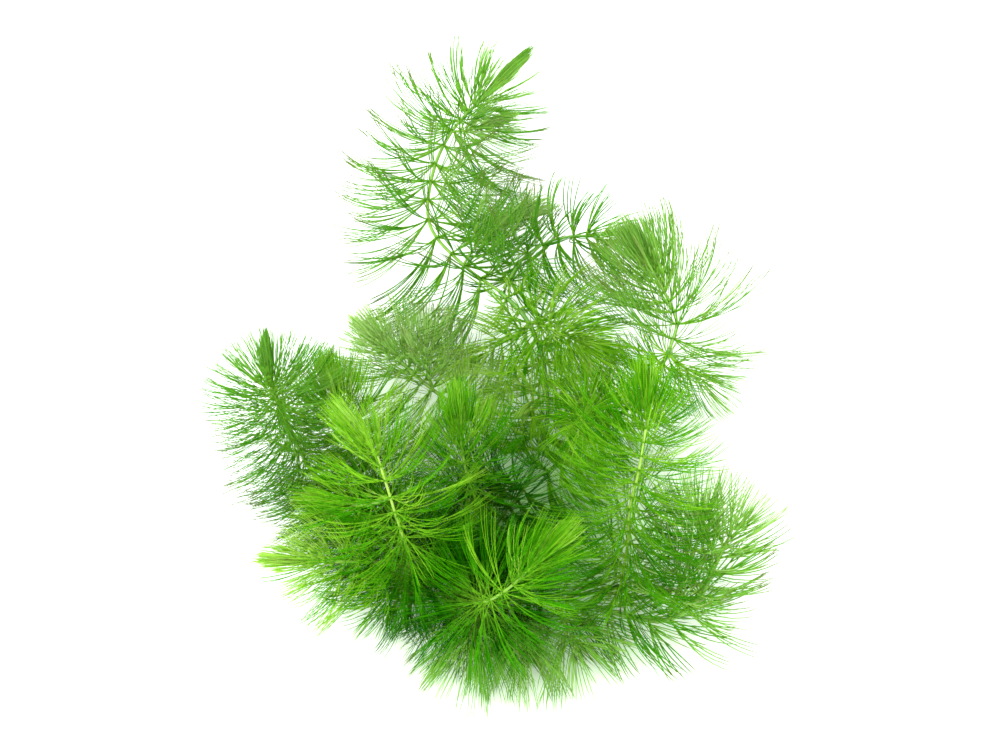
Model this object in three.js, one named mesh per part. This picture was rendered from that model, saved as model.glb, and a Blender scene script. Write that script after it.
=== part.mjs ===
import * as THREE from 'three';

// Hornwort, a tangled and branching clump of a rootless water plant that lies on a flat surface.
// Millimetres, +Z up. The origin is on the surface, under the middle of the clump.
// One mesh is one shoot: a stem, its rings of forked leaves and, at a free end, its growing tip.

// Leaves, from the stem to their tips
const LEAF_LENGTH = 26;
const LEAF_STALK = 1;              // length in which a leaf is too slender to meet another
const YOUNG_LEAF_SHARE = 0.7;      // length of the youngest open leaves, as a share of a grown leaf
const LEAF_SPREAD = 0.44;          // width across a leaf's two tips, as a share of its length
const FORK_AT = 0.6;               // where the notch between the tips ends, as a share of the length
const OLD_LEAF_ANGLE = 80;         // degrees from the stem's direction
const YOUNG_LEAF_ANGLE = 26;
const OPENING = 18;                // length of stem over which leaves grow and open to their full size
const LEAVES_IN_RING = 6;
const FAN_TILT = 38;               // degrees that a leaf's fan is turned about the leaf

// Stems and growing tips
const STEM_RADIUS = 0.65;
const RING_HEIGHT = 1.2;           // height of the stem's swelling that carries a ring of leaves
const TIP_START = 14;              // distances from the end of a growing tip
const TIP_WAIST = 9;
const TIP_NECK = 4;
const TIP_RADIUS = 2.4;
const TIP_NECK_RADIUS = 1.7;
const TIP_LEAF_LENGTH = 14;
const BUD_LEAF_ANGLE = 8;          // the youngest leaves stay closed as a bud, or open as a brush
const BRUSH_LEAF_ANGLE = 20;
const TIP_BEYOND_STEM = 4;         // how far the young leaves pass the end of the stem

// Leaves that meet the surface bend and lie flat on it
const FLAT_LEAF_HEIGHT = 0.8;
const SHORTEST_FLAT_LEAF = 5;
const LEAST_SLANT = 0.25;          // level part of a leaf's direction from which it can bend flat

// Room between leaves, and the shorter lengths and turns that a crowded leaf tries
const CLEARANCE = 0.3;
const LEAF_HALF_THICKNESS = 0.35;
const OWN_STEM_ROOM = 3;           // a leaf may be this near the stretch of stem that it grows from
const CROWDED_LENGTHS = [1, 0.84, 0.68, 0.54, 0.4, 0.28];
const CROWDED_TURNS = [0, 9, -9];

// The routes are laid out as the clump looks from above and in front
const VIEW_ELEVATION = THREE.MathUtils.degToRad(65);
const VIEW_DISTANCE = 900;
const MIDDLE_X = -2.4;             // the clump's middle, from the point that the view looks at
const MIDDLE_Y = -9.25;

const BRIGHT = { color: 0x8ccb45, roughness: 0.5, metalness: 0 };
const GREEN = { color: 0x66a836, roughness: 0.5, metalness: 0 };
const DARK = { color: 0x3f8423, roughness: 0.55, metalness: 0 };
const PALE = { color: 0x9fcf78, roughness: 0.5, metalness: 0 };

// Each shoot's route is [across, up, height] from its base to its tip: across and up as seen from the
// view above, height over the surface. A shoot with continues set goes on in another one, so it has
// no growing tip. Shoots that show most come first, because a leaf gives way to those placed before it.
const SHOOTS = [
  {
    name: 'front_shoot', look: BRIGHT, spacing: 5,
    route: [[-12, -63, 12], [-8, -67, 24], [-6, -68, 38], [-2, -67, 46], [5, -62, 52], [12, -55, 56],
      [21, -46, 60]],
  },
  {
    name: 'left_front_shoot', look: BRIGHT, spacing: 5,
    route: [[-24, -66, 13], [-27, -60, 24], [-28, -52, 38], [-31, -43, 50], [-35, -30, 58],
      [-38, -22, 62], [-50, -11, 66]],
  },
  {
    name: 'centre_right_shoot', look: BRIGHT, spacing: 6,
    route: [[35, -69, 18], [37, -59, 27], [38.5, -49, 36], [38.7, -41, 44], [42, -27, 55], [44, -12, 61],
      [42, 7, 66]],
  },
  {
    name: 'top_shoot', look: GREEN, spacing: 5.5, leaf: 27, bud: true,
    route: [[0, 25, 26], [-11, 33, 25], [-21, 45, 24], [-20, 61, 24], [-14.5, 73, 25], [-4.5, 84, 27],
      [5.5, 94, 30]],
  },
  {
    name: 'far_left_shoot', look: GREEN, spacing: 5.5, leaf: 26, bud: true,
    route: [[-28, -58, 10], [-38, -48, 15], [-50, -38, 22], [-61, -21, 33], [-66.5, -9, 43],
      [-69, -2, 51], [-70, 15, 58]],
  },
  {
    name: 'lower_right_shoot', look: GREEN, spacing: 5, stem: 0.9, leaf: 22,
    route: [[64.5, -57, 29], [67, -52, 31], [70, -46, 33], [77, -34, 38]],
  },
  {
    name: 'right_shoot', look: GREEN, spacing: 6, leaf: 25,
    route: [[51, 8, 40], [53, 16, 43], [47, 29, 46], [42, 38, 48], [36, 47, 50]],
  },
  {
    name: 'centre_shoot', look: BRIGHT, spacing: 6,
    route: [[-4, -47, 12], [-7, -38, 26], [-10, -30, 40], [-12, -18, 50], [-13.5, -2, 56]],
  },
  {
    name: 'lower_left_shoot', look: BRIGHT, spacing: 6,
    route: [[-19, -64, 11], [-29, -57, 20], [-42, -56, 27], [-57, -56, 31], [-72, -55, 33]],
  },
  {
    name: 'right_side_shoot', look: GREEN, spacing: 5, leaf: 23,
    route: [[51, 6, 38], [56, 2, 38], [63, -2, 37], [73, -6, 36]],
  },
  {
    name: 'back_left_shoot', look: PALE, spacing: 6,
    route: [[2, -24, 13], [-10, -12, 15], [-22, -3, 17], [-33, 7, 19], [-46, 19, 21]],
  },
  {
    name: 'back_left_side_shoot', look: PALE, spacing: 6,
    route: [[-20, -5, 17], [-22, 2, 21], [-23, 10, 24], [-20, 21, 26]],
  },
  {
    name: 'middle_right_shoot', look: GREEN, spacing: 6.5,
    route: [[52, -68, 22], [56, -58, 28], [60, -47, 34], [62, -30, 40]],
  },
  {
    name: 'left_side_shoot', look: BRIGHT, spacing: 6,
    route: [[-33, -37, 50], [-40, -39, 47], [-50, -38, 43], [-63, -38, 40]],
  },
  {
    name: 'back_shoot', look: DARK, spacing: 6.5, leaf: 19,
    route: [[1, 26, 26], [8, 36, 27], [18, 41, 27], [30, 41, 28], [41, 32, 29]],
  },
  {
    name: 'top_lower_shoot', look: GREEN, spacing: 6, leaf: 18,
    route: [[-11, 33, 25], [-7, 39, 28], [-1, 44, 30], [7, 47.5, 32], [15.6, 49.8, 34]],
  },
  {
    name: 'middle_left_shoot', look: GREEN, spacing: 6,
    route: [[-38, -48, 15], [-42, -34, 22], [-46, -20, 29], [-50, -5, 35], [-54, 9, 40]],
  },
  {
    name: 'top_side_bud', look: GREEN, spacing: 6, leaf: 21, bud: true,
    route: [[-14.5, 73, 25], [-9, 73.5, 28], [-1, 76, 31], [6, 80, 34]],
  },
  {
    name: 'star_shoot', look: GREEN, spacing: 6,
    route: [[33, -8, 25], [27, -9, 32], [25, -13, 42], [24, -19, 54]],
  },
  {
    name: 'inner_right_shoot', look: GREEN, spacing: 6, leaf: 20,
    route: [[9, 16, 27], [17, 13, 32], [25, 9, 36], [34, 4, 40]],
  },
  {
    name: 'upper_inner_branch', look: DARK, spacing: 6.5,
    route: [[10, 15, 24], [1, 10, 22], [-8, 4, 22], [-18, -1, 24]],
  },
  {
    name: 'lower_inner_branch', look: DARK, spacing: 6.5,
    route: [[12, 6, 21], [4, -2, 23], [-4, -9, 27], [-11, -13, 30]],
  },
  {
    name: 'dark_bud', look: DARK, spacing: 6, bud: true,
    route: [[14, -5, 20], [9, -9, 27], [3, -13, 33]],
  },
  {
    name: 'front_edge_shoot_far_left', look: GREEN, spacing: 6, leaf: 18,
    route: [[-31, -68, 10], [-34, -71.5, 12], [-38, -75, 13], [-43, -78.5, 13]],
  },
  {
    name: 'front_edge_shoot_left', look: GREEN, spacing: 6,
    route: [[-5, -68, 11], [-7, -76, 14], [-10, -84, 16], [-13, -93, 17]],
  },
  {
    name: 'front_edge_shoot_right', look: GREEN, spacing: 6,
    route: [[5, -67, 11], [7, -76, 13], [8, -84, 15], [10, -93, 16]],
  },
  {
    name: 'front_edge_shoot_far_right', look: GREEN, spacing: 6,
    route: [[15, -66, 10], [19, -74, 13], [24, -82, 15], [29, -92, 16]],
  },
  {
    name: 'main_stem', look: GREEN, spacing: 8.4, continues: true,
    route: [[8, -33, 12], [14, -15, 16], [14, -4, 18], [12, 8, 22], [7, 18, 25], [0, 25, 26]],
  },
  {
    name: 'right_stem', look: GREEN, spacing: 7.5, continues: true,
    route: [[9, -32, 13], [20, -25, 15], [31, -16, 19], [41, -7, 27], [48, 2, 34], [51, 8, 40]],
  },
  {
    name: 'lower_right_stem', look: PALE, spacing: 7, stem: 1, leaf: 22, continues: true,
    route: [[15, -66, 10], [30, -70, 13], [41, -73, 15], [50, -73.5, 18], [59, -68, 23],
      [64.5, -57, 29]],
  },
  {
    name: 'base_stem_left', look: DARK, spacing: 9, continues: true,
    route: [[-36, -66, 9], [-24, -68, 9], [-12, -60, 9], [-2, -46, 10], [8, -33, 12]],
  },
  {
    name: 'base_stem_right', look: DARK, spacing: 9, continues: true,
    route: [[-16, -65, 9], [-5, -68, 9], [5, -67, 9], [15, -66, 10]],
  },
];

const START_GAP = 2.6;             // room between a shoot's base and the stem that it leaves
const END_GAP = 0.6;               // room at the end of a stem that continues in another shoot

// Where a point of a route lies in space
const toEye = new THREE.Vector3(0, -Math.cos(VIEW_ELEVATION), Math.sin(VIEW_ELEVATION));
const upward = new THREE.Vector3(0, Math.sin(VIEW_ELEVATION), Math.cos(VIEW_ELEVATION));
const eye = toEye.clone().multiplyScalar(VIEW_DISTANCE);

function placed([across, up, height]) {
  const seen = upward.clone().multiplyScalar(up).add(new THREE.Vector3(across, 0, 0));
  const share = (eye.z - height) / (eye.z - seen.z);
  const point = eye.clone().lerp(seen, share);
  return point.sub(new THREE.Vector3(MIDDLE_X, MIDDLE_Y, 0));
}

function eased(from, to, share) {
  return THREE.MathUtils.lerp(from, to, THREE.MathUtils.smoothstep(share, 0, 1));
}

// The rings along a shoot, from its base to its tip. Each has its distance from the growing tip,
// its radius and, where it carries leaves, their length and angle.
function ringsOf(shoot, length) {
  const stem = shoot.stem ?? STEM_RADIUS;
  const grown = shoot.leaf ?? LEAF_LENGTH;
  const first = shoot.continues ? END_GAP + shoot.spacing / 2 : TIP_START;
  const rings = [];
  for (let fromTip = first; fromTip < length - START_GAP - RING_HEIGHT; fromTip += shoot.spacing) {
    const growth = shoot.continues ? 1 : (fromTip - TIP_START) / OPENING;
    rings.unshift({
      fromTip,
      radius: stem,
      leafLength: grown * eased(YOUNG_LEAF_SHARE, 1, growth),
      leafAngle: eased(YOUNG_LEAF_ANGLE, OLD_LEAF_ANGLE, growth),
      forked: true,
    });
  }
  if (!shoot.continues) {
    rings.push({
      fromTip: TIP_WAIST,
      radius: TIP_RADIUS,
      leafLength: TIP_LEAF_LENGTH,
      leafAngle: shoot.bud ? BUD_LEAF_ANGLE : BRUSH_LEAF_ANGLE,
      forked: false,
    });
    rings.push({ fromTip: TIP_NECK, radius: TIP_NECK_RADIUS });
  }
  return rings;
}

// Adds each ring's place, its direction and the corners of its lower and upper edge
function layOutStem(shoot) {
  const curve = new THREE.CatmullRomCurve3(shoot.route.map(placed));
  curve.arcLengthDivisions = 400;
  const length = curve.getLength() - (shoot.continues ? 0 : TIP_BEYOND_STEM);
  const share = (distance) => THREE.MathUtils.clamp(distance / curve.getLength(), 0, 1);
  const rings = ringsOf(shoot, length);
  const stem = shoot.stem ?? STEM_RADIUS;
  let side = new THREE.Vector3(0, 0, 1);

  function edge(distance, radius, turn) {
    const centre = curve.getPointAt(share(distance));
    const along = curve.getTangentAt(share(distance));
    side = side.clone().addScaledVector(along, -side.dot(along)).normalize();
    const across = along.clone().cross(side);
    const corners = [];
    for (let i = 0; i < LEAVES_IN_RING; i += 1) {
      const angle = (i + turn) * 2 * Math.PI / LEAVES_IN_RING;
      const corner = centre.clone();
      corner.addScaledVector(side, radius * Math.cos(angle));
      corner.addScaledVector(across, radius * Math.sin(angle));
      corners.push(corner);
    }
    return { centre, along, corners };
  }

  const start = edge(START_GAP, stem, 0);
  for (const [index, ring] of rings.entries()) {
    const turn = index % 2 / 2;
    const distance = length - ring.fromTip;
    ring.low = edge(distance, ring.radius, turn);
    ring.high = ring.leafLength ? edge(distance + RING_HEIGHT, ring.radius, turn) : ring.low;
  }
  const end = shoot.continues ? edge(length - END_GAP, stem, 0) : null;
  const tip = curve.getPointAt(share(length));
  return { shoot, rings, start, end, tip };
}

// A convex body stands for a stretch of stem or for a leaf when room between leaves is tested
function bodyOf(corners, radius) {
  const centre = new THREE.Vector3();
  corners.forEach((corner) => centre.addScaledVector(corner, 1 / corners.length));
  const reach = Math.max(...corners.map((corner) => corner.distanceTo(centre))) + radius;
  const edges = corners.map((corner, i) => corners[(i + 1) % corners.length].clone().sub(corner));
  const facing = corners.length > 2 ? [edges[0].clone().cross(edges[1])] : [];
  const sideways = facing.flatMap((normal) => edges.map((edge) => edge.clone().cross(normal)));
  return { corners, radius, centre, reach, edges, normals: [...facing, ...sideways] };
}

function spanAlong(direction, corners) {
  const places = corners.map((corner) => corner.dot(direction));
  return [Math.min(...places), Math.max(...places)];
}

function isApart(a, b) {
  const gap = a.radius + b.radius + CLEARANCE;
  if (a.centre.distanceTo(b.centre) > a.reach + b.reach + CLEARANCE) {
    return true;
  }
  const directions = [...a.normals, ...b.normals];
  for (const p of a.corners) {
    b.corners.forEach((q) => directions.push(q.clone().sub(p)));
  }
  for (const edge of a.edges) {
    b.edges.forEach((other) => directions.push(edge.clone().cross(other)));
  }
  return directions.some((direction) => {
    const size = direction.length();
    if (size < 1e-6) {
      return false;
    }
    const unit = direction.clone().divideScalar(size);
    const [lowA, highA] = spanAlong(unit, a.corners);
    const [lowB, highB] = spanAlong(unit, b.corners);
    return lowB - highA > gap || lowA - highB > gap;
  });
}

function onSurface(point) {
  return new THREE.Vector3(point.x, point.y, Math.max(point.z, 0));
}

// One leaf that grows from four corners of the stem. It is straight, or it bends where it meets the
// surface and lies flat on it from there.
function leafFrom(base, ring, outward, angle, length, fanTilt) {
  const root = new THREE.Vector3();
  base.forEach((corner) => root.addScaledVector(corner, 1 / base.length));
  const heading = ring.low.along.clone().multiplyScalar(Math.cos(angle));
  heading.addScaledVector(outward, Math.sin(angle)).normalize();
  let fan = heading.clone().cross(ring.low.along).normalize();
  fan.applyAxisAngle(heading, fanTilt);
  const tip = root.clone().addScaledVector(heading, length);
  const start = root.clone().addScaledVector(heading, LEAF_STALK);
  let from = root;
  let middle = null;
  if (tip.z < 0 && heading.z < 0) {
    const down = (root.z - FLAT_LEAF_HEIGHT / 2) / -heading.z;
    const flat = new THREE.Vector3(heading.x, heading.y, 0);
    if (length - down > SHORTEST_FLAT_LEAF && flat.length() > LEAST_SLANT) {
      from = root.clone().addScaledVector(heading, down);
      flat.normalize();
      fan = new THREE.Vector3(0, 0, 1).cross(flat);
      tip.copy(from).addScaledVector(flat, length - down);
      const half = LEAF_SPREAD * FLAT_LEAF_HEIGHT;
      middle = [[-half, 0], [half, 0], [half, FLAT_LEAF_HEIGHT], [-half, FLAT_LEAF_HEIGHT]].map(
        ([across, height]) => from.clone().addScaledVector(fan, across).setZ(height));
      tip.z = 0;
    }
  }
  const half = LEAF_SPREAD / 2 * tip.distanceTo(from);
  const left = onSurface(tip.clone().addScaledVector(fan, -half));
  const right = onSurface(tip.clone().addScaledVector(fan, half));
  const notch = onSurface(from.clone().lerp(tip, FORK_AT));
  if (middle) {
    notch.z = 0;
    left.z = 0;
    right.z = 0;
  }
  const bodies = middle
    ? [bodyOf([start, from], LEAF_HALF_THICKNESS), bodyOf([from, left, right], LEAF_HALF_THICKNESS)]
    : [bodyOf(ring.forked ? [start, left, right] : [start, tip], LEAF_HALF_THICKNESS)];
  return { root, heading, fan, middle, left, notch, right, tip: onSurface(tip), bodies };
}

// Starts a ring of four corners at the one that suits the wanted sides best
function turnedTo(ring, wanted) {
  const turns = ring.map((corner, start) => ring.map((_, i) => ring[(start + i) % ring.length]));
  const middle = new THREE.Vector3();
  ring.forEach((index) => middle.addScaledVector(index.point, 1 / ring.length));
  const fit = (turn) => turn.reduce(
    (sum, corner, i) => sum + corner.point.clone().sub(middle).dot(wanted[i]), 0);
  return turns.reduce((best, turn) => (fit(turn) > fit(best) ? turn : best));
}

// Collects the corners and faces of one closed body
class Body {
  constructor() {
    this.positions = [];
    this.faces = [];
  }

  corner(point) {
    this.positions.push(point.x, point.y, point.z);
    return { index: this.positions.length / 3 - 1, point };
  }

  ring(points) {
    return points.map((point) => this.corner(point));
  }

  face(a, b, c) {
    this.faces.push(a.index, b.index, c.index);
  }

  // Joins two rings that have the same number of corners
  band(lower, upper) {
    lower.forEach((corner, i) => {
      const next = (i + 1) % lower.length;
      this.face(corner, lower[next], upper[next]);
      this.face(corner, upper[next], upper[i]);
    });
  }

  spike(ring, apex) {
    ring.forEach((corner, i) => this.face(corner, ring[(i + 1) % ring.length], apex));
  }

  cap(ring) {
    for (let i = 1; i < ring.length - 1; i += 1) {
      this.face(ring[0], ring[i + 1], ring[i]);
    }
  }

  // The forked outer part of a leaf, from a ring that starts at its left lower corner
  fork([a, b, c, d], left, notch, right) {
    this.face(a, b, notch);
    this.face(b, right, notch);
    this.face(a, notch, left);
    this.face(b, c, right);
    this.face(c, d, notch);
    this.face(d, left, notch);
    this.face(c, notch, right);
    this.face(d, a, left);
  }

  leaf(base, leaf, forked) {
    if (!forked) {
      this.spike(base, this.corner(leaf.tip));
      return;
    }
    const tips = [leaf.left, leaf.notch, leaf.right].map((point) => this.corner(point));
    if (!leaf.middle) {
      const { fan } = leaf;
      const away = fan.clone().negate();
      this.fork(turnedTo(base, [away, fan, fan, away]), ...tips);
      return;
    }
    const middle = this.ring(leaf.middle);
    const centre = leaf.middle[0].clone().lerp(leaf.middle[2], 0.5);
    const sides = leaf.middle.map((point) => point.clone().sub(centre));
    this.band(turnedTo(base, sides), middle);
    this.fork(middle, ...tips);
  }

  mesh(name, look) {
    const geometry = new THREE.BufferGeometry();
    geometry.setAttribute('position', new THREE.Float32BufferAttribute(this.positions, 3));
    geometry.setIndex(this.faces);
    geometry.computeVertexNormals();
    const mesh = new THREE.Mesh(geometry, new THREE.MeshStandardMaterial({ ...look, flatShading: true }));
    mesh.name = name;
    return mesh;
  }
}

// The straight stretches of a stem between its rings
function stretchesOf(stem) {
  const stops = [stem.start, ...stem.rings.flatMap((ring) => [ring.low, ring.high])];
  const ends = stem.end ? [stem.end.centre] : [stem.tip];
  const centres = [...stops.map((stop) => stop.centre), ...ends];
  const radii = [STEM_RADIUS, ...stem.rings.flatMap((ring) => [ring.radius, ring.radius]), 0];
  const stretches = [];
  for (let i = 0; i + 1 < centres.length; i += 1) {
    if (centres[i].distanceTo(centres[i + 1]) > 0.01) {
      const radius = Math.max(radii[i], radii[i + 1], stem.shoot.stem ?? 0);
      stretches.push({ stem, ...bodyOf([centres[i], centres[i + 1]], radius) });
    }
  }
  return stretches;
}

const stems = SHOOTS.map(layOutStem);
const obstacles = stems.flatMap(stretchesOf);

function hasRoom(leaf, ring, stem) {
  return leaf.bodies.every((body) => obstacles.every((obstacle) => {
    const ownRing = obstacle.ring === ring;
    const near = obstacle.centre.distanceTo(leaf.root) < obstacle.reach + OWN_STEM_ROOM;
    return ownRing || (obstacle.stem === stem && near) || isApart(body, obstacle);
  }));
}

// The longest leaf that has room, or nothing
function growLeaf(base, ring, stem, outward, fanTilt) {
  for (const share of CROWDED_LENGTHS) {
    for (const turn of CROWDED_TURNS) {
      const angle = THREE.MathUtils.degToRad(ring.leafAngle + (ring.forked ? turn : 0));
      const leaf = leafFrom(base, ring, outward, angle, ring.leafLength * share, fanTilt);
      if (hasRoom(leaf, ring, stem)) {
        leaf.bodies.forEach((body) => obstacles.push({ ring, ...body }));
        return leaf;
      }
    }
  }
  return null;
}

function growRing(body, ring, stem, index) {
  const low = body.ring(ring.low.corners);
  if (!ring.leafLength) {
    return [low, low];
  }
  const high = body.ring(ring.high.corners);
  for (let i = 0; i < LEAVES_IN_RING; i += 1) {
    const next = (i + 1) % LEAVES_IN_RING;
    const base = [low[i], low[next], high[next], high[i]];
    const outward = ring.low.corners[i].clone().add(ring.low.corners[next]);
    outward.addScaledVector(ring.low.centre, -2).normalize();
    const fanTilt = THREE.MathUtils.degToRad((i + index) % 2 ? FAN_TILT : -FAN_TILT);
    const leaf = growLeaf(base.map((corner) => corner.point), ring, stem, outward, fanTilt);
    if (leaf) {
      body.leaf(base, leaf, ring.forked);
    } else {
      body.face(base[0], base[1], base[2]);
      body.face(base[0], base[2], base[3]);
    }
  }
  return [low, high];
}

function growShoot(stem) {
  const body = new Body();
  const start = body.ring(stem.start.corners);
  body.cap(start);
  let below = start;
  stem.rings.forEach((ring, index) => {
    const [low, high] = growRing(body, ring, stem, index);
    body.band(below, low);
    below = high;
  });
  if (stem.end) {
    const end = body.ring(stem.end.corners);
    body.band(below, end);
    body.cap([...end].reverse());
  } else {
    body.spike(below, body.corner(stem.tip));
  }
  return body.mesh(stem.shoot.name, stem.shoot.look);
}

const hornwort = new THREE.Group();
stems.forEach((stem) => hornwort.add(growShoot(stem)));

export default hornwort;
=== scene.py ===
import math

import bpy
import numpy as np
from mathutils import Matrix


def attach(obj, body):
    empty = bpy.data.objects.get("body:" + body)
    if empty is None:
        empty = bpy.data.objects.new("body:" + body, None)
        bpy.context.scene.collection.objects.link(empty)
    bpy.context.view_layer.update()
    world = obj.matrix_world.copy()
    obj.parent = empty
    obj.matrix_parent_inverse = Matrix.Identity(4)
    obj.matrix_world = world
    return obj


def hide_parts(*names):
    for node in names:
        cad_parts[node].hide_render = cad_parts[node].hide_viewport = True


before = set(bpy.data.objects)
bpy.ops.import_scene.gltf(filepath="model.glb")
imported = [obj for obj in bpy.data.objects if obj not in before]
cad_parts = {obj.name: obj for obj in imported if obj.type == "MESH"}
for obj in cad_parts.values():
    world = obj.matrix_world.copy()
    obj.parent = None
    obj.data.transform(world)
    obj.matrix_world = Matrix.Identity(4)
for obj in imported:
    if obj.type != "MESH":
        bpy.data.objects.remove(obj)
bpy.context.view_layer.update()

# A clump of hornwort that lies on a pale surface: stems with rings of forked needle leaves.
# Lengths here are millimetres, and become metres where an object is made.
MM = 0.001
SEED = 11
rng = np.random.default_rng(SEED)

# The view of the photograph, and the clump's middle as seen from the point that the view looks at
VIEW_ELEVATION = math.radians(65)
VIEW_DISTANCE = 900.0
MIDDLE_X = -2.4
MIDDLE_Y = -9.25
FRAME_WIDTH = 300.0
SENSOR_WIDTH = 36.0
NEAREST = 10.0                     # distances between which things are seen
FARTHEST = 20000.0

# Stems. Where a shoot has a growing tip, its youngest leaves pass the end of the stem.
STEM_SIDES = 8
STEM_STEP = 0.9
LEAST_STEPS = 8
CURVE_SAMPLES = 60
FIRST_SIDE = [0.3, 0.1, 1.0]
TIP_BEYOND_STEM = 13.0
TIP_TAPER = 10.0
STEM_TIP_SHARE = 0.4

# Rings of leaves. An age is the length of stem between a ring and the growing tip.
FIRST_AGE = 0.3
TIP_SPACING = 1.5
BUD_SPACING = 0.8
SPACING_RANGE = [0.88, 1.12]
LOWER_STEM_AGE = 30.0
BUD_AGE = 3.5
TIP_TURN_AGE = 7.0
THIN_AGE = 8.0
THIN_SHARE = 0.85

# What leaves have at an age: the angle from the stem, the bend, the share of their grown length,
# the shortest that a leaf of uneven length is, the extra tone and where their tips' colour is
ANGLES = [(0, 5), (2, 17), (4, 32), (7, 50), (12, 78), (20, 104), (34, 118)]
BUD_ANGLES = [(0, 12), (3.2, 15), (3.8, 46), (6, 64), (10, 88), (16, 112), (30, 124)]
BENDS = [(0, 12), (6, 24), (20, 50), (34, 60)]
BUD_BENDS = [(0, 26), (3.2, 30), (4, 22), (20, 50), (34, 60)]
LENGTHS = [(0, 0.62), (4, 0.72), (16, 1.0)]
SHORTEST = [(2, 0.62), (12, 0.86)]
LONGEST = 1.06
TONES = [(0, 0.1), (10, 0.0)]
YOUNG_UNTIL = [4, 10]
TIPS_BROWN_BY = [3, 15]
YOUNG_TIP = 0.72
BUD_TIP = 0.75
BUD_TONE = 0.05
BUD_RANGE = [0.8, 1.0]
LEAST_ANGLE = 1

# How a ring is turned from the one before it, as a share of the gap between two leaves, and how
# unevenly leaves stand
RING_SPIN = 0.5
RING_TURN = 0.1
TURN_STRAY = 0.09
ANGLE_STRAY = 8.0
BUD_ANGLE_STRAY = 1.0
BEND_RANGE = [0.75, 1.25]
SPREAD_RANGE = [0.7, 1.3]
PLANE_STRAY = 1.2
TONE_STRAY = {"lush": 0.14, "soft": 0.09}
STRAND_TONE_STRAY = 0.07
BUD_SPREAD = 0.2

# A leaf starts inside its stem, less deep on a thin growing tip
ROOT_SHARE = 0.7
TIP_ROOT = 0.2
ROOT_BY_AGE = 0.1

# Leaves that would pass the surface turn about their stem in small steps until they clear it.
# One that points straight down first takes a side.
FLOOR_GAP = 0.5
LIFT_STEPS = 14
LIFT_STEP = 0.15
STRAIGHT_DOWN = -0.9
SIDE_STEP = 0.5
REACH_ANGLES = [0.05, 1.6]

# Painted shade: leaves low in the middle of the clump are darker
SHADE = 0.8
SHADE_MIDDLE = [-5.0, -56.0]
SHADE_REACH = 47.0
SHADE_HEIGHT = 62.0

# A leaf forks twice, and where it forks a third time, only its two outer strands do.
# Each level is a tube that starts inside the one before it.
FORKS_AT = [0.0, 0.09, 0.2, 0.4, 1.0]
FORK_SPREADS = [2.0, 1.25, 0.75]
FORK_RANGE = [0.75, 1.25]
FORK_CLOSES = 2.4
FORK_NARROWS = 0.15
FORK_TWIST = 0.2
LEVEL_STEPS = [1, 1, 2, 5]
LEVEL_RADII = [0.26, 0.21, 0.17, 0.14, 0.075]
LEVEL_OVERLAP = 0.01
LAST_TAPER = 1.8
LAST_RANGE = [0.86, 1.0]
STRAY = 0.022
STRAND_SIDES = 3
LEVEL_TUBE = 0.8                   # rings of a tube that is less upright than this start at its top

# A piece's UV runs along a strand in U, and from shaded to bright in V
TONE_SCALE = 0.88
TONE_LIMITS = [0.02, 0.97]
TONE_AROUND = 0.02
CAP_U = 0.004

# What a shoot has besides its name and route:
# tone and fade: brightness at its tip from 0 to 1, and how much darker its base is
# stem and stem_tone: the stem's radius and brightness
# leaves and leaf: the number of leaves in a ring and their grown length
# base_leaf: the share of that length that leaves have at the base
# bare: the length of the base that has no leaves
# spacing and spaced_by: the distance of grown rings, and the age from which rings have it
# bud: the length of the closed leaves at the tip, where they form a bud
# young: the share of the usual length that young leaves have
# tip_age: the age of the rings at a tip that has no young leaves
# pace and widest: how soon leaves open, and the widest angle they open to
# arch, spread and fine: shares of the usual bend, the usual spread and the usual thickness
# forks and forks_out: how often a leaf forks, and how far out
# tips: where the colour of grown tips is, with 1 as the brownest
# look: the leaves' material
# continues: whether another stem goes on from this one
USUAL = dict(fade=0.1, stem=0.55, stem_tone=0.5, leaves=9, leaf=29.0, base_leaf=1.0, bare=2.2,
             spacing=4.8, spaced_by=18.0, bud=0, young=1.0, tip_age=0, pace=1.0, widest=125,
             arch=1.0, spread=1.0, fine=1.0, forks=3, forks_out=1.0, tips=0.98, look="lush",
             continues=False)

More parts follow.
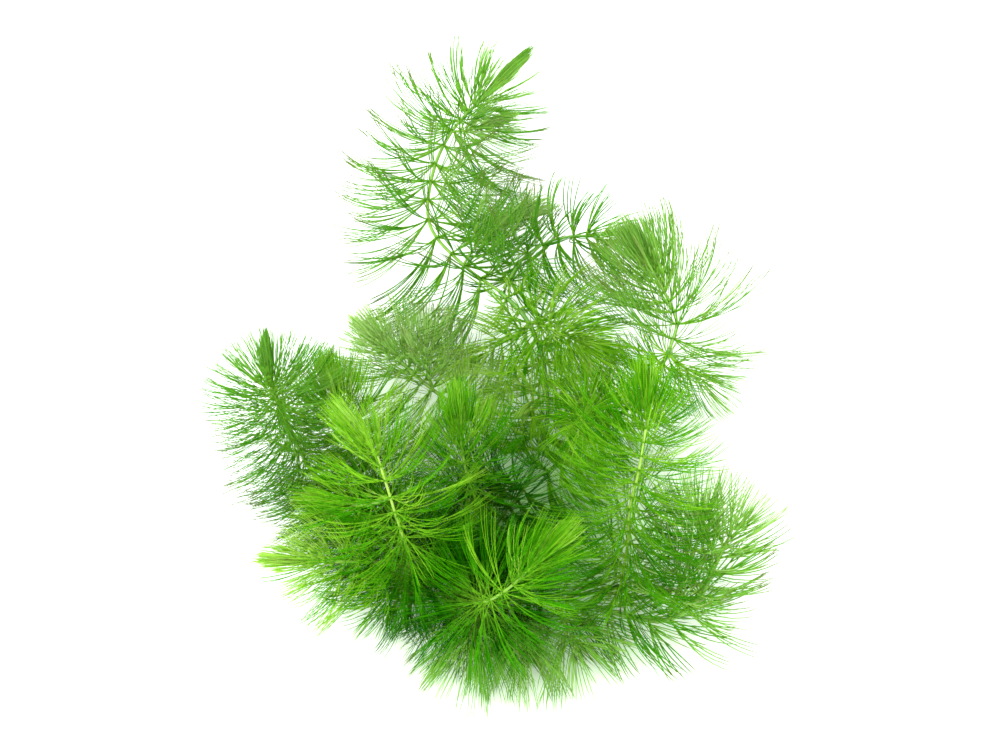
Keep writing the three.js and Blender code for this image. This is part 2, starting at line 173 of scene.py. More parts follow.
# A route is [across, up, height] from the base to the tip, as seen in the view above.
SHOOTS = [
    dict(name="front_shoot", tone=0.62, fade=0.65, stem=0.42, leaves=11, spaced_by=12, fine=0.8,
         route=[[-12, -63, 12], [-8, -67, 24], [-6, -68, 38], [-2, -67, 46], [5, -62, 52],
                [12, -55, 56], [21, -46, 60]]),
    dict(name="left_front_shoot", tone=0.73, fade=0.48, stem=0.4, stem_tone=0.75, leaves=11,
         spaced_by=9, fine=0.88,
         route=[[-24, -66, 13], [-27, -60, 24], [-28, -52, 38], [-31, -43, 50], [-35, -30, 58],
                [-38, -22, 62], [-50, -11, 66]]),
    dict(name="centre_right_shoot", tone=0.6, fade=0.25, stem=0.42, stem_tone=0.75, leaves=12,
         leaf=25, base_leaf=1.5, spacing=4.0, spaced_by=12, young=0.85, fine=0.9,
         route=[[35, -69, 18], [37, -59, 27], [38.5, -49, 36], [38.7, -41, 44], [42, -27, 55],
                [44, -12, 61], [42, 7, 66]]),
    dict(name="top_shoot", look="soft", tone=0.62, stem=0.5, leaves=12, leaf=33, base_leaf=1.2,
         spacing=6.4, bud=22, spread=0.85, fine=1.2,
         route=[[0, 25, 26], [-11, 33, 25], [-21, 45, 24], [-20, 61, 24], [-14.5, 73, 25],
                [-4.5, 84, 27], [5.5, 94, 30]]),
    dict(name="far_left_shoot", look="soft", tone=0.52, leaves=16, leaf=33, base_leaf=0.5,
         spacing=3.4, bud=14, spread=1.2, fine=0.85,
         route=[[-28, -58, 10], [-38, -48, 15], [-50, -38, 22], [-61, -21, 33], [-66.5, -9, 43],
                [-69, -2, 51], [-70, 15, 58]]),
    dict(name="lower_right_shoot", look="soft", tone=0.82, stem=0.7, stem_tone=0.55, leaves=6,
         leaf=28, spacing=6, tip_age=3, widest=65, arch=0.6, fine=1.3, forks=2, forks_out=1.4,
         route=[[64.5, -57, 29], [67, -52, 31], [70, -46, 33], [77, -34, 38]]),
    dict(name="right_shoot", look="soft", tone=0.74, stem=0.5, leaves=12, leaf=29, base_leaf=1.3,
         spacing=3.9, young=0.85, pace=0.65,
         route=[[51, 8, 40], [53, 16, 43], [47, 29, 46], [42, 38, 48], [36, 47, 50]]),
    dict(name="centre_shoot", tone=0.66, fade=0.5, stem=0.4, leaves=11, leaf=25, base_leaf=1.25,
         fine=0.85,
         route=[[-4, -47, 12], [-7, -38, 26], [-10, -30, 40], [-12, -18, 50], [-13.5, -2, 56]]),
    dict(name="lower_left_shoot", tone=0.92, leaf=28, spacing=5, widest=75,
         route=[[-19, -64, 11], [-29, -57, 20], [-42, -56, 27], [-57, -56, 31], [-72, -55, 33]]),
    dict(name="right_side_shoot", look="soft", tone=0.72, stem=0.4, leaves=6, leaf=25, tip_age=3,
         route=[[51, 6, 38], [56, 2, 38], [63, -2, 37], [73, -6, 36]]),
    dict(name="back_left_shoot", look="soft", tone=0.95, leaves=10, base_leaf=0.8, bare=18,
         spacing=3.4, young=0.8,
         route=[[2, -24, 13], [-10, -12, 15], [-22, -3, 17], [-33, 7, 19], [-46, 19, 21]]),
    dict(name="back_left_side_shoot", look="soft", tone=0.88, leaves=9, leaf=23, tip_age=4,
         route=[[-20, -5, 17], [-22, 2, 21], [-23, 10, 24], [-20, 21, 26]]),
    dict(name="middle_right_shoot", look="soft", tone=0.8, leaves=8, tip_age=4, fine=1.25, forks=2,
         route=[[52, -68, 22], [56, -58, 28], [60, -47, 34], [62, -30, 40]]),
    dict(name="left_side_shoot", tone=0.66, leaves=6, leaf=25,
         route=[[-33, -37, 50], [-40, -39, 47], [-50, -38, 43], [-63, -38, 40]]),
    dict(name="back_shoot", look="soft", tone=0.42, stem=0.4, stem_tone=0.4, leaves=8, leaf=23,
         spacing=5, tip_age=5, fine=1.4, forks=2, tips=0.8,
         route=[[1, 26, 26], [8, 36, 27], [18, 41, 27], [30, 41, 28], [41, 32, 29]]),
    dict(name="top_lower_shoot", look="soft", tone=0.95, stem=0.4, leaves=5, leaf=24, spacing=6,
         bud=18, tip_age=2, pace=0.3, widest=50, fine=1.1, tips=0.6,
         route=[[-11, 33, 25], [-7, 39, 28], [-1, 44, 30], [7, 47.5, 32], [15.6, 49.8, 34]]),
    dict(name="middle_left_shoot", tone=0.72, leaves=14, young=0.8,
         route=[[-38, -48, 15], [-42, -34, 22], [-46, -20, 29], [-50, -5, 35], [-54, 9, 40]]),
    dict(name="top_side_bud", look="soft", tone=0.78, stem=0.4, leaves=9, leaf=28, bud=14,
         route=[[-14.5, 73, 25], [-9, 73.5, 28], [-1, 76, 31], [6, 80, 34]]),
    dict(name="star_shoot", tone=0.6, stem=0.4, leaves=8, leaf=19, spacing=4.4, tip_age=8,
         fine=1.15, forks=2,
         route=[[33, -8, 25], [27, -9, 32], [25, -13, 42], [24, -19, 54]]),
    dict(name="inner_right_shoot", tone=0.7, stem=0.4, leaves=14, leaf=27, spacing=3.6, tip_age=3,
         fine=1.1,
         route=[[9, 16, 27], [17, 13, 32], [25, 9, 36], [34, 4, 40]]),
    dict(name="upper_inner_branch", tone=0.95, stem=0.4, stem_tone=0.7, leaves=5, fine=1.2, forks=2,
         route=[[10, 15, 24], [1, 10, 22], [-8, 4, 22], [-18, -1, 24]]),
    dict(name="lower_inner_branch", tone=0.95, stem=0.4, stem_tone=0.75, leaves=4, spacing=7,
         fine=1.2, forks=2,
         route=[[12, 6, 21], [4, -2, 23], [-4, -9, 27], [-11, -13, 30]]),
    dict(name="dark_bud", tone=0.95, stem=0.4, leaves=3, leaf=20, spacing=7, bud=14,
         route=[[14, -5, 20], [9, -9, 27], [3, -13, 33]]),
    dict(name="front_edge_shoot_far_left", look="soft", tone=0.8, leaves=7, leaf=18, tip_age=5,
         route=[[-31, -68, 10], [-34, -71.5, 12], [-38, -75, 13], [-43, -78.5, 13]]),
    dict(name="front_edge_shoot_left", look="soft", tone=0.98, leaves=13, tip_age=5,
         route=[[-5, -68, 11], [-7, -76, 14], [-10, -84, 16], [-13, -93, 17]]),
    dict(name="front_edge_shoot_right", look="soft", tone=0.95, leaves=12, tip_age=5,
         route=[[5, -67, 11], [7, -76, 13], [8, -84, 15], [10, -93, 16]]),
    dict(name="front_edge_shoot_far_right", look="soft", tone=0.85, leaves=7, tip_age=5, fine=1.25,
         forks=2,
         route=[[15, -66, 10], [19, -74, 13], [24, -82, 15], [29, -92, 16]]),
    dict(name="main_stem", continues=True, tone=1.0, fade=0.25, stem=0.7, stem_tone=0.35, leaves=9,
         leaf=14, base_leaf=2.3, bare=8, spacing=5.5, fine=1.3, forks=2,
         route=[[8, -33, 12], [14, -15, 16], [14, -4, 18], [12, 8, 22], [7, 18, 25], [0, 25, 26]]),
    dict(name="right_stem", continues=True, tone=0.75, fade=0.12, stem=0.6, stem_tone=0.35, leaves=12,
         leaf=17, base_leaf=1.35, spacing=4.2, fine=1.1,
         route=[[9, -32, 13], [20, -25, 15], [31, -16, 19], [41, -7, 27], [48, 2, 34], [51, 8, 40]]),
    dict(name="lower_right_stem", look="soft", continues=True, tone=0.6, stem=0.75, stem_tone=0.45,
         leaves=7, leaf=24, spacing=6, widest=62, arch=0.5, fine=1.35, forks=2, forks_out=1.6,
         route=[[15, -66, 10], [30, -70, 13], [41, -73, 15], [50, -73.5, 18], [59, -68, 23],
                [64.5, -57, 29]]),
    dict(name="base_stem_left", continues=True, tone=0.2, leaves=17, leaf=31, base_leaf=0.3,
         spacing=3.4, forks=2,
         route=[[-36, -66, 9], [-24, -68, 9], [-12, -60, 9], [-2, -46, 10], [8, -33, 12]]),
    dict(name="base_stem_right", continues=True, tone=0.15, leaves=14, leaf=22, spacing=3.4, forks=2,
         route=[[-16, -65, 9], [-5, -68, 9], [5, -67, 9], [15, -66, 10]]),
]

# Leaf colours: four tones from shaded to bright, then how brown the tips are
LEAF_TONES_AT = [0.0, 0.4, 0.7, 0.9]
LEAF_COLOURS = {
    "lush": [(0.006, 0.18, 0.001), (0.09, 0.47, 0.003), (0.39, 0.75, 0.035), (0.60, 0.83, 0.19)],
    "soft": [(0.02, 0.20, 0.005), (0.14, 0.46, 0.03), (0.37, 0.67, 0.12), (0.60, 0.80, 0.31)],
}
BROWNED = {"lush": 0.2, "soft": 0.8}
LEAF_BASE_COLOUR = (0.44, 0.80, 0.06)
LEAF_BASE_SHARE = 0.55
LEAF_BASE_END = 0.4
TIP_COLOUR = (0.18, 0.14, 0.05)
TIP_FROM = 0.68
TIP_FULL = 0.93
GLOW_COLOUR = (0.48, 0.89, 0.12)
GLOW_SHARE = 0.15
TRANSLUCENT_SHARE = 0.5
LEAF_ROUGHNESS = 0.5

STEM_TONES = [(0.3, (0.13, 0.36, 0.03)), (0.6, (0.29, 0.50, 0.05)), (0.85, (0.45, 0.66, 0.10))]
STEM_MOTTLE = [(0.35, (0.75, 0.8, 0.7)), (0.65, (1.0, 1.0, 1.0))]
STEM_MOTTLE_SCALE = 30
STEM_MOTTLE_DETAIL = 2
STEM_ROUGHNESS = 0.4

# Painted light and shade: the surface is tinted green and darker under the clump, in place of the
# light that comes through the leaves, and glows a little away from it, less under the clump. Its tints
# and glow strengths are for distances in metres from the middle of the tint.
FLOOR_HALF = 6000.0
FLOOR_TINT_MIDDLE = [12.0, -45.0, 0.0]
FLOOR_PAINTED_TINTS = [(0.01, (0.36, 0.72, 0.20)), (0.045, (0.77, 0.90, 0.69)), (0.08, (0.94, 0.95, 0.94))]
# Painted light: the surface glows, and glows less under the clump, which paints shade there
FLOOR_GLOW = (0.9, 0.97, 0.88, 1)
FLOOR_GLOW_STRENGTHS = [(0.015, 0.03), (0.06, 0.3)]
FLOOR_ROUGHNESS = 0.9
FLOOR_SPECULAR = 0.1

SKY_STRENGTH = 1.5
KEY_PLACE = [-500.0, -200.0, 1600.0]
KEY_SIZE = 1600.0
KEY_ENERGY = 34


# Camera
def make_camera():
    data = bpy.data.cameras.new("camera")
    data.sensor_width = SENSOR_WIDTH
    data.lens = SENSOR_WIDTH * VIEW_DISTANCE / FRAME_WIDTH
    data.clip_start = NEAREST * MM
    data.clip_end = FARTHEST * MM
    camera = bpy.data.objects.new("camera", data)
    bpy.context.collection.objects.link(camera)
    back = np.array([0, -math.cos(VIEW_ELEVATION), math.sin(VIEW_ELEVATION)])
    target = np.array([-MIDDLE_X, -MIDDLE_Y, 0])
    camera.location = (target + back * VIEW_DISTANCE) * MM
    camera.rotation_euler = (math.pi / 2 - VIEW_ELEVATION, 0, 0)
    bpy.context.scene.camera = camera


# Geometry helpers
def unit(v):
    return v / np.maximum(np.linalg.norm(v, axis=-1, keepdims=True), 1e-9)


def eased(low, high, share):
    t = np.clip(share, 0, 1)
    return low + (high - low) * t * t * (3 - 2 * t)


def by_age(table, age):
    ages, values = zip(*table)
    return np.interp(age, ages, values)


def placed(route):
    """Places in space of route points given as seen in the view."""
    across, up, height = np.array(route, float).T
    sin_e = math.sin(VIEW_ELEVATION)
    cos_e = math.cos(VIEW_ELEVATION)
    eye = np.array([0, -cos_e, sin_e]) * VIEW_DISTANCE
    seen = np.stack([across, up * sin_e, up * cos_e], axis=1)
    share = (eye[2] - height) / (eye[2] - seen[:, 2])
    return eye + share[:, None] * (seen - eye) - np.array([MIDDLE_X, MIDDLE_Y, 0])


def curve_through(points):
    """Centripetal Catmull-Rom curve through the points, as dense samples."""
    points = np.asarray(points)
    ends = np.vstack([2 * points[0] - points[1], points, 2 * points[-1] - points[-2]])
    knots = np.concatenate([[0], np.cumsum(np.linalg.norm(np.diff(ends, axis=0), axis=1) ** 0.5)])
    line = []
    for i in range(1, len(ends) - 2):
        t0, t1, t2, t3 = knots[i - 1:i + 3]
        t = np.linspace(t1, t2, CURVE_SAMPLES, endpoint=False)[:, None]
        p0, p1, p2, p3 = ends[i - 1:i + 3]
        a1 = (t1 - t) / (t1 - t0) * p0 + (t - t0) / (t1 - t0) * p1
        a2 = (t2 - t) / (t2 - t1) * p1 + (t - t1) / (t2 - t1) * p2
        a3 = (t3 - t) / (t3 - t2) * p2 + (t - t2) / (t3 - t2) * p3
        b1 = (t2 - t) / (t2 - t0) * a1 + (t - t0) / (t2 - t0) * a2
        b2 = (t3 - t) / (t3 - t1) * a2 + (t - t1) / (t3 - t1) * a3
        line.append((t2 - t) / (t2 - t1) * b1 + (t - t1) / (t2 - t1) * b2)
    return np.vstack([*line, points[-1:]])


class Stem:
    """A shoot's middle line with its length, and a frame that doesn't twist along it."""

    def __init__(self, shoot):
        self.shoot = shoot
        self.line = curve_through(placed(shoot["route"]))
        steps = np.linalg.norm(np.diff(self.line, axis=0), axis=1)
        self.at = np.concatenate([[0], np.cumsum(steps)])
        self.length = self.at[-1]
        if not shoot["continues"]:
            self.length -= TIP_BEYOND_STEM
        self.along = unit(np.gradient(self.line, self.at, axis=0))
        side = np.array(FIRST_SIDE)
        sides = []
        for along in self.along:
            side = side - along * (side @ along)
            side = side / np.linalg.norm(side)
            sides.append(side)
        self.side = np.array(sides)

    def pick(self, values, distance):
        parts = [np.interp(distance, self.at, values[:, k]) for k in range(3)]
        return np.stack(parts, -1)

    def frame(self, distance):
        """Places at distances from the base, with the directions along and across the line."""
        distance = np.clip(distance, 0, self.at[-1])
        along = unit(self.pick(self.along, distance))
        side = unit(self.pick(self.side, distance))
        return self.pick(self.line, distance), along, side, np.cross(along, side)


def tube_points(paths, radii, sides):
    """Rings of points around each point of the paths, square to them."""
    tangent = unit(np.gradient(paths, axis=1))
    mean = unit(paths[:, -1] - paths[:, 0])
    helper = np.where(np.abs(mean[:, 2:3]) < LEVEL_TUBE, [[0.0, 0.0, 1.0]], [[1.0, 0.0, 0.0]])
    on_tangent = np.sum(helper[:, None] * tangent, -1, keepdims=True)
    first = unit(helper[:, None] - tangent * on_tangent)
    second = np.cross(tangent, first)
    angles = np.arange(sides) * 2 * math.pi / sides
    ring = first[:, :, None] * np.cos(angles)[:, None] + second[:, :, None] * np.sin(angles)[:, None]
    return paths[:, :, None] + ring * radii[:, :, None, None]


class Mesh:
    """Collects tubes as arrays and makes one object of them. No point is under the surface."""

    def __init__(self):
        self.points = []
        self.faces = []
        self.uvs = []
        self.slots = []
        self.count = 0

    def add(self, points, faces, uvs, slot):
        self.points.append(points.reshape(-1, 3))
        self.faces.append(faces.reshape(-1, 3) + self.count)
        self.uvs.append(uvs.reshape(-1, 2))
        self.slots.append(np.full(len(faces.reshape(-1, 3)), slot, np.int32))
        self.count += len(self.points[-1])

    def tubes(self, paths, radii, sides, along, tone, slot=0, pointed=False):
        """Tubes along paths. along and tone give the UV of each path point."""
        number, steps, _ = paths.shape
        points = tube_points(paths, radii, sides)
        if pointed:
            points[:, -1] = paths[:, -1:]
        points[..., 2] = np.maximum(points[..., 2], 0.0)
        index = np.arange(number * steps * sides).reshape(number, steps, sides)
        low = index[:, :-1]
        high = index[:, 1:]
        low_next = np.roll(low, -1, 2)
        high_next = np.roll(high, -1, 2)
        lower = np.stack([low, low_next, high_next], -1)
        upper = np.stack([low, high_next, high], -1)
        turn = TONE_AROUND * np.arange(sides + 1) / sides
        uv = np.stack([np.repeat(along[:, :, None], sides + 1, 2), tone[:, :, None] + turn], -1)
        uv_low = uv[:, :-1]
        uv_high = uv[:, 1:]
        uv_lower = np.stack([uv_low[:, :, :-1], uv_low[:, :, 1:], uv_high[:, :, 1:]], 3)
        uv_upper = np.stack([uv_low[:, :, :-1], uv_high[:, :, 1:], uv_high[:, :, :-1]], 3)
        if pointed:
            upper = upper[:, :-1]
            uv_upper = uv_upper[:, :-1]
        faces = [lower.reshape(number, -1, 3), upper.reshape(number, -1, 3)]
        uvs = [uv_lower.reshape(number, -1, 3, 2), uv_upper.reshape(number, -1, 3, 2)]
        ends = [(0, (0, 1, 2))] if pointed else [(0, (0, 1, 2)), (steps - 1, (0, 2, 1))]
        for end, order in ends:
            for k in range(1, sides - 1):
                corners = np.array([0, k + 1, k])[list(order)]
                faces.append(index[:, end, corners][:, None])
                cap = uv[:, end][:, corners].copy()
                cap[:, 1, 0] += CAP_U
                uvs.append(cap[:, None])
        self.add(points, np.concatenate(faces, 1), np.concatenate(uvs, 1), slot)

    def build(self, name, materials):
        points = np.concatenate(self.points) * MM
        faces = np.concatenate(self.faces)
        mesh = bpy.data.meshes.new(name)
        mesh.vertices.add(len(points))
        mesh.vertices.foreach_set("co", points.astype(np.float32).ravel())
        mesh.loops.add(faces.size)
        mesh.loops.foreach_set("vertex_index", faces.astype(np.int32).ravel())
        mesh.polygons.add(len(faces))
        mesh.polygons.foreach_set("loop_start", np.arange(0, faces.size, 3, dtype=np.int32))
        mesh.polygons.foreach_set("material_index", np.concatenate(self.slots))
        mesh.update(calc_edges=True)
        layer = mesh.uv_layers.new(name="OFBake")
        layer.data.foreach_set("uv", np.concatenate(self.uvs).astype(np.float32).ravel())
        mesh.shade_smooth()
        for material in materials:
            mesh.materials.append(material)
        mesh.validate()
        piece = bpy.data.objects.new(name, mesh)
        bpy.context.collection.objects.link(piece)
        return piece


# Leaves
def ring_ages(stem):
    """Ages of a shoot's rings of leaves, crowded at the growing tip."""
    shoot = stem.shoot
    older = LOWER_STEM_AGE if shoot["continues"] else shoot["tip_age"]
    closest = BUD_SPACING if shoot["bud"] else TIP_SPACING
    at = shoot["spacing"] / 2 if shoot["continues"] else FIRST_AGE
    rings = []
    while at < stem.length - shoot["bare"]:
        rings.append(at)
        share = min((at + older) / shoot["spaced_by"], 1)
        at += (closest + (shoot["spacing"] - closest) * share) * rng.uniform(*SPACING_RANGE)
    return np.array(rings), older


def lifted(root, forward, outward, reach):
    """Turns leaves about their stem until their ends clear the surface."""
    up = np.array([0, 0, 1.0]) - forward * forward[:, 2:3]
    loose = unit(np.cross(forward, outward)) * rng.choice([-1, 1], len(root))[:, None]
    straight_down = (outward[:, 2] < STRAIGHT_DOWN)[:, None]
    outward = np.where(straight_down, unit(outward + SIDE_STEP * loose), outward)
    for _ in range(LIFT_STEPS):
        low = root[:, 2] + reach * outward[:, 2] < FLOOR_GAP
        outward = np.where(low[:, None], unit(outward + LIFT_STEP * up), outward)
    return outward


def shade(place):
    """How much painted shade darkens leaves low in the middle of the clump."""
    away = np.linalg.norm(place[:, :2] - np.array(SHADE_MIDDLE), axis=1)
    near = np.clip(1 - away / SHADE_REACH, 0, 1)
    return SHADE * near * np.clip(1 - place[:, 2] / SHADE_HEIGHT, 0, 1)


class Leaves:
    """The leaves of a shoot, each an arch in the plane of forward and outward."""

    def __init__(self, stem):
        shoot = stem.shoot
        per_ring = shoot["leaves"]
        rings, older = ring_ages(stem)
        centre, along, side, across = stem.frame(stem.length - rings)
        if not shoot["continues"]:
            turned = np.clip(1 - rings / TIP_TURN_AGE, 0, 1)[:, None]
            along = unit(along + turned * unit(stem.line[-1] - centre))
            side = unit(side - along * np.sum(side * along, 1, keepdims=True))
            across = np.cross(along, side)
        spin = np.arange(len(rings)) * RING_SPIN + rng.uniform(-RING_TURN, RING_TURN, len(rings))
        turn = (np.arange(per_ring)[None] + spin[:, None]) * 2 * math.pi / per_ring
        turn = (turn + rng.normal(0, TURN_STRAY, turn.shape)).ravel()[:, None]
        centre, along, side, across = [np.repeat(v, per_ring, 0) for v in (centre, along, side, across)]
        age = np.repeat(rings + older, per_ring)
        along_stem = np.repeat(1 - rings / max(stem.length, 1), per_ring)
        closed = (age < BUD_AGE) & (shoot["bud"] > 0)
        self.number = len(age)
        self.set_arch(shoot, age, closed)
        self.set_length(shoot, age, closed, along_stem)
        self.plane = rng.normal(0, PLANE_STRAY, self.number)
        self.size = np.where(age < THIN_AGE, THIN_SHARE, 1.0) * shoot["fine"]
        self.forward = along
        reach = self.length * np.sin(np.clip(self.angle - self.bend / 2, *REACH_ANGLES))
        outward = side * np.cos(turn) + across * np.sin(turn)
        self.outward = lifted(centre, along, outward, reach)
        inside_stem = np.minimum(shoot["stem"] * ROOT_SHARE, TIP_ROOT + ROOT_BY_AGE * age)
        self.root = centre + self.outward * inside_stem[:, None]
        self.sideways = np.cross(self.forward, self.outward)
        tone = shoot["tone"] + by_age(TONES, age) - shoot["fade"] * (1 - along_stem)
        # Random tone, less the painted shade low in the middle of the clump
        tone = tone + rng.normal(0, TONE_STRAY[shoot["look"]], self.number) - shade(centre)
        self.tone = np.where(closed, shoot["tone"] + BUD_TONE, tone)
        tips = np.interp(age, TIPS_BROWN_BY, [YOUNG_TIP, shoot["tips"]])
        self.tip_at = np.where(closed, BUD_TIP, tips)

    def set_arch(self, shoot, age, closed):
        angles, bends = (BUD_ANGLES, BUD_BENDS) if shoot["bud"] else (ANGLES, BENDS)
        angle = np.minimum(by_age(angles, age * shoot["pace"]), shoot["widest"])
        angle = angle + rng.normal(0, 1, self.number) * np.where(closed, BUD_ANGLE_STRAY, ANGLE_STRAY)
        bend = by_age(bends, age) * rng.uniform(*BEND_RANGE, self.number)
        self.angle = np.radians(np.clip(angle, LEAST_ANGLE, USUAL["widest"]))
        self.bend = np.radians(bend * shoot["arch"])

    def set_length(self, shoot, age, closed, along_stem):
        length = shoot["leaf"] * by_age(LENGTHS, age)
        length *= np.interp(age, YOUNG_UNTIL, [shoot["young"], 1.0])
        length *= rng.uniform(by_age(SHORTEST, age), LONGEST)
        length *= shoot["base_leaf"] + (1 - shoot["base_leaf"]) * along_stem
        bud_length = shoot["bud"] * rng.uniform(*BUD_RANGE, self.number)
        self.length = np.where(closed, bud_length, length)
        spread = rng.uniform(*SPREAD_RANGE, self.number) * shoot["spread"]
        self.spread = np.where(closed, BUD_SPREAD, spread)

    def line(self, share):
        """Places, and the two directions across the leaf, at shares of every leaf's length."""
        angle = self.angle[:, None] - self.bend[:, None] * share
        bend = self.bend[:, None]
        ahead = (np.sin(self.angle[:, None]) - np.sin(angle)) / bend * self.length[:, None]
        out = (np.cos(angle) - np.cos(self.angle[:, None])) / bend * self.length[:, None]
        place = (self.root[:, None] + self.forward[:, None] * ahead[..., None]
                 + self.outward[:, None] * out[..., None])
        inward = (self.forward[:, None] * np.sin(angle)[..., None]
                  - self.outward[:, None] * np.cos(angle)[..., None])
        return place, self.sideways[:, None] + 0 * place, inward


def fork_signs(strand, level):
    """The side a strand takes at each fork, or None where there's no such strand."""
    signs = [1 if strand >> fork & 1 else -1 for fork in range(level)]
    if level == 3 and signs[0] != signs[1]:
        if signs[2] > 0:
            return None
        signs[2] = 0
    return signs


def fork_reaches(leaves, levels):
    """How far each fork parts its strands, sideways and inward."""
    reaches = []
    for level in range(levels):
        plane = leaves.plane + rng.normal(0, FORK_TWIST, leaves.number)
        reach = FORK_SPREADS[level] * rng.uniform(*FORK_RANGE, leaves.number) * leaves.spread
        reaches.append((np.cos(plane) * reach, np.sin(plane) * reach))
    return reaches


def grow_leaves(mesh, stem):
    leaves = Leaves(stem)
    number = leaves.number
    levels = stem.shoot["forks"]
    forks_at = np.minimum(np.array(FORKS_AT) * stem.shoot["forks_out"], 1)
    reaches = fork_reaches(leaves, levels)
    for level in range(levels + 1):
        last = level == levels
        start = forks_at[level]
        end = 1.0 if last else forks_at[level + 1]
        steps = LEVEL_STEPS[-1] if last else LEVEL_STEPS[level]
        radius = LEVEL_RADII[level]
        end_radius = LEVEL_RADII[-1] if last else LEVEL_RADII[level + 1]
        taper = np.linspace(0, 1, steps + 1) ** (LAST_TAPER if last else 1)
        share = np.linspace(start - (LEVEL_OVERLAP if level else 0), end, steps + 1)
        place, sideways, inward = leaves.line(share)
        for strand in range(2 ** level):
            signs = fork_signs(strand, level)
            if signs is None:
                continue
            path = place.copy()
            for fork, sign in enumerate(signs):
                past = np.maximum(share - forks_at[fork + 1], 0)
                parted = sign * (1 - np.exp(-FORK_CLOSES * past)) * (1 - FORK_NARROWS * past)
                path += sideways * (reaches[fork][0][:, None] * parted)[..., None]
                path += inward * (reaches[fork][1][:, None] * parted)[..., None]
            if last:
                late = (share - start) / (end - start)
                stray = rng.normal(0, STRAY, (number, 2)) * (leaves.length * leaves.spread)[:, None]
                path += sideways * (stray[:, :1] * late ** 2)[..., None]
                path += inward * (stray[:, 1:] * late ** 2)[..., None]
                reached = rng.uniform(*LAST_RANGE, number)[:, None, None]
                path = path[:, :1] + (path - path[:, :1]) * reached
            radii = leaves.size[:, None] * (radius + (end_radius - radius) * taper)
            tone = np.clip(leaves.tone + rng.normal(0, STRAND_TONE_STRAY, number), *TONE_LIMITS)
            tones = np.repeat(tone[:, None] * TONE_SCALE, steps + 1, 1)
            along = np.maximum(share, 0) * leaves.tip_at[:, None]
            mesh.tubes(path, radii, STRAND_SIDES, along, tones, pointed=last)


def grow_stem(mesh, stem):
    shoot = stem.shoot
    count = max(int(stem.length / STEM_STEP), LEAST_STEPS)
    at = np.linspace(0, stem.length, count)
    line = stem.frame(at)[0]
    radius = np.full(count, shoot["stem"])
    if not shoot["continues"]:
        radius = radius * eased(STEM_TIP_SHARE, 1, (stem.length - at) / TIP_TAPER)
    share = at / stem.length
    tone = np.full((1, count), shoot["stem_tone"] * TONE_SCALE)
    mesh.tubes(line[None], radius[None], STEM_SIDES, share[None], tone, slot=1)


# Materials
def principled(name):
    material = bpy.data.materials.new(name)
    material.use_nodes = True
    return material, material.node_tree, material.node_tree.nodes["Principled BSDF"]


def ramp(tree, factor, stops):
    node = tree.nodes.new("ShaderNodeValToRGB")
    elements = node.color_ramp.elements
    while len(elements) < len(stops):
        elements.new(0.5)
    for element, (place, colour) in zip(elements, stops):
        element.position = place
        element.color = (*colour, 1)
    tree.links.new(factor, node.inputs["Fac"])
    return node.outputs["Color"]


def grey(value):
    return (value, value, value)


def mix(tree, factor, first, second, blend="MIX"):
    node = tree.nodes.new("ShaderNodeMix")
    node.data_type = "RGBA"
    node.blend_type = blend
    # Inputs 6 and 7 are the two colours, and output 2 is their mix
    sockets = [node.inputs["Factor"], node.inputs[6], node.inputs[7]]
    for socket, value in zip(sockets, [factor, first, second]):
        if isinstance(value, bpy.types.NodeSocket):
            tree.links.new(value, socket)
        elif isinstance(value, tuple):
            socket.default_value = (*value, 1)
        else:
            socket.default_value = value
    return node.outputs[2]


def own_uv(tree):
    """The piece's UV, and its U and V."""
    uv = tree.nodes.new("ShaderNodeUVMap")
    uv.uv_map = "OFBake"
    split = tree.nodes.new("ShaderNodeSeparateXYZ")
    tree.links.new(uv.outputs["UV"], split.inputs["Vector"])
    return uv.outputs["UV"], split.outputs["X"], split.outputs["Y"]


def make_leaf_material(look):
    material, tree, shader = principled(look + "_leaf")
    _, along, tone = own_uv(tree)
    colour = ramp(tree, tone, list(zip(LEAF_TONES_AT, LEAF_COLOURS[look])))
    near_stem = ramp(tree, along, [(0.0, grey(LEAF_BASE_SHARE)), (LEAF_BASE_END, grey(0.0))])
    colour = mix(tree, near_stem, colour, LEAF_BASE_COLOUR)
    near_tip = ramp(tree, along, [(TIP_FROM, grey(0.0)), (TIP_FULL, grey(BROWNED[look]))])
    colour = mix(tree, near_tip, colour, TIP_COLOUR)
    tree.links.new(colour, shader.inputs["Base Color"])
    shader.inputs["Roughness"].default_value = LEAF_ROUGHNESS
    shader.inputs["Specular IOR Level"].default_value = 0.0
    translucent = tree.nodes.new("ShaderNodeBsdfTranslucent")
    glow = mix(tree, GLOW_SHARE, colour, GLOW_COLOUR)
    tree.links.new(glow, translucent.inputs["Color"])
    blend = tree.nodes.new("ShaderNodeMixShader")
    blend.inputs["Fac"].default_value = TRANSLUCENT_SHARE
    tree.links.new(shader.outputs["BSDF"], blend.inputs[1])
    tree.links.new(translucent.outputs["BSDF"], blend.inputs[2])
    tree.links.new(blend.outputs["Shader"], tree.nodes["Material Output"].inputs["Surface"])
    return material


def make_stem_material():
    material, tree, shader = principled("stem")
    place, _, tone = own_uv(tree)
    noise = tree.nodes.new("ShaderNodeTexNoise")
    noise.inputs["Scale"].default_value = STEM_MOTTLE_SCALE
    noise.inputs["Detail"].default_value = STEM_MOTTLE_DETAIL
    tree.links.new(place, noise.inputs["Vector"])
    mottled = ramp(tree, noise.outputs["Fac"], STEM_MOTTLE)
    colour = mix(tree, 1.0, ramp(tree, tone, STEM_TONES), mottled, "MULTIPLY")
    tree.links.new(colour, shader.inputs["Base Color"])
    shader.inputs["Roughness"].default_value = STEM_ROUGHNESS
    return material


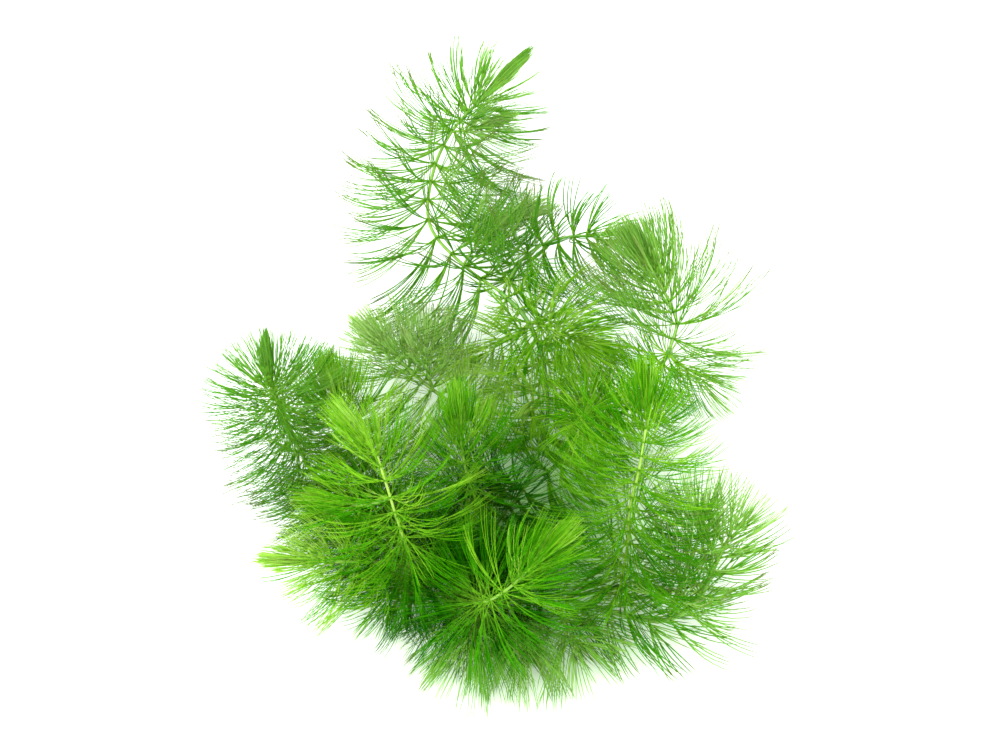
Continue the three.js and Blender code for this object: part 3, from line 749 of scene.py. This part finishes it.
# Shoots
def make_shoots():
    leaf_materials = {look: make_leaf_material(look) for look in LEAF_COLOURS}
    stem_material = make_stem_material()
    for own in SHOOTS:
        shoot = USUAL | own
        stem = Stem(shoot)
        mesh = Mesh()
        grow_leaves(mesh, stem)
        grow_stem(mesh, stem)
        name = shoot["name"]
        piece = mesh.build(name + "_plant", [leaf_materials[shoot["look"]], stem_material])
        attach(piece, "root")
        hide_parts(name)


# Floor and light
def make_floor():
    half = FLOOR_HALF * MM
    mesh = bpy.data.meshes.new("floor")
    corners = [(-half, -half, 0), (half, -half, 0), (half, half, 0), (-half, half, 0)]
    mesh.from_pydata(corners, [], [(0, 1, 2, 3)])
    floor = bpy.data.objects.new("floor", mesh)
    bpy.context.collection.objects.link(floor)
    material, tree, shader = principled("floor")
    where = tree.nodes.new("ShaderNodeTexCoord")
    distance = tree.nodes.new("ShaderNodeVectorMath")
    distance.operation = "DISTANCE"
    tree.links.new(where.outputs["Object"], distance.inputs[0])
    distance.inputs[1].default_value = np.array(FLOOR_TINT_MIDDLE) * MM
    # Painted light and shade: a green tint, darker under the clump
    painted_tint = ramp(tree, distance.outputs["Value"], FLOOR_PAINTED_TINTS)
    tree.links.new(painted_tint, shader.inputs["Base Color"])
    # Painted light: the surface glows, less under the clump
    stops = [(away, grey(strength)) for away, strength in FLOOR_GLOW_STRENGTHS]
    glow = ramp(tree, distance.outputs["Value"], stops)
    tree.links.new(glow, shader.inputs["Emission Strength"])
    shader.inputs["Roughness"].default_value = FLOOR_ROUGHNESS
    shader.inputs["Specular IOR Level"].default_value = FLOOR_SPECULAR
    shader.inputs["Emission Color"].default_value = FLOOR_GLOW
    mesh.materials.append(material)


def make_light():
    world = bpy.data.worlds.new("world")
    bpy.context.scene.world = world
    world.use_nodes = True
    background = world.node_tree.nodes["Background"]
    background.inputs["Color"].default_value = (1, 1, 1, 1)
    background.inputs["Strength"].default_value = SKY_STRENGTH
    data = bpy.data.lights.new("key", "AREA")
    data.shape = "DISK"
    data.size = KEY_SIZE * MM
    data.energy = KEY_ENERGY
    key = bpy.data.objects.new("key", data)
    bpy.context.collection.objects.link(key)
    key.location = np.array(KEY_PLACE) * MM
    across, up, height = KEY_PLACE
    tilt = math.atan2(math.hypot(across, up), height)
    key.rotation_euler = (tilt, 0, math.atan2(-up, -across) - math.pi / 2)
    bpy.context.scene.view_settings.view_transform = "Standard"
    bpy.context.scene.view_settings.look = "None"


make_camera()
make_shoots()
make_floor()
make_light()
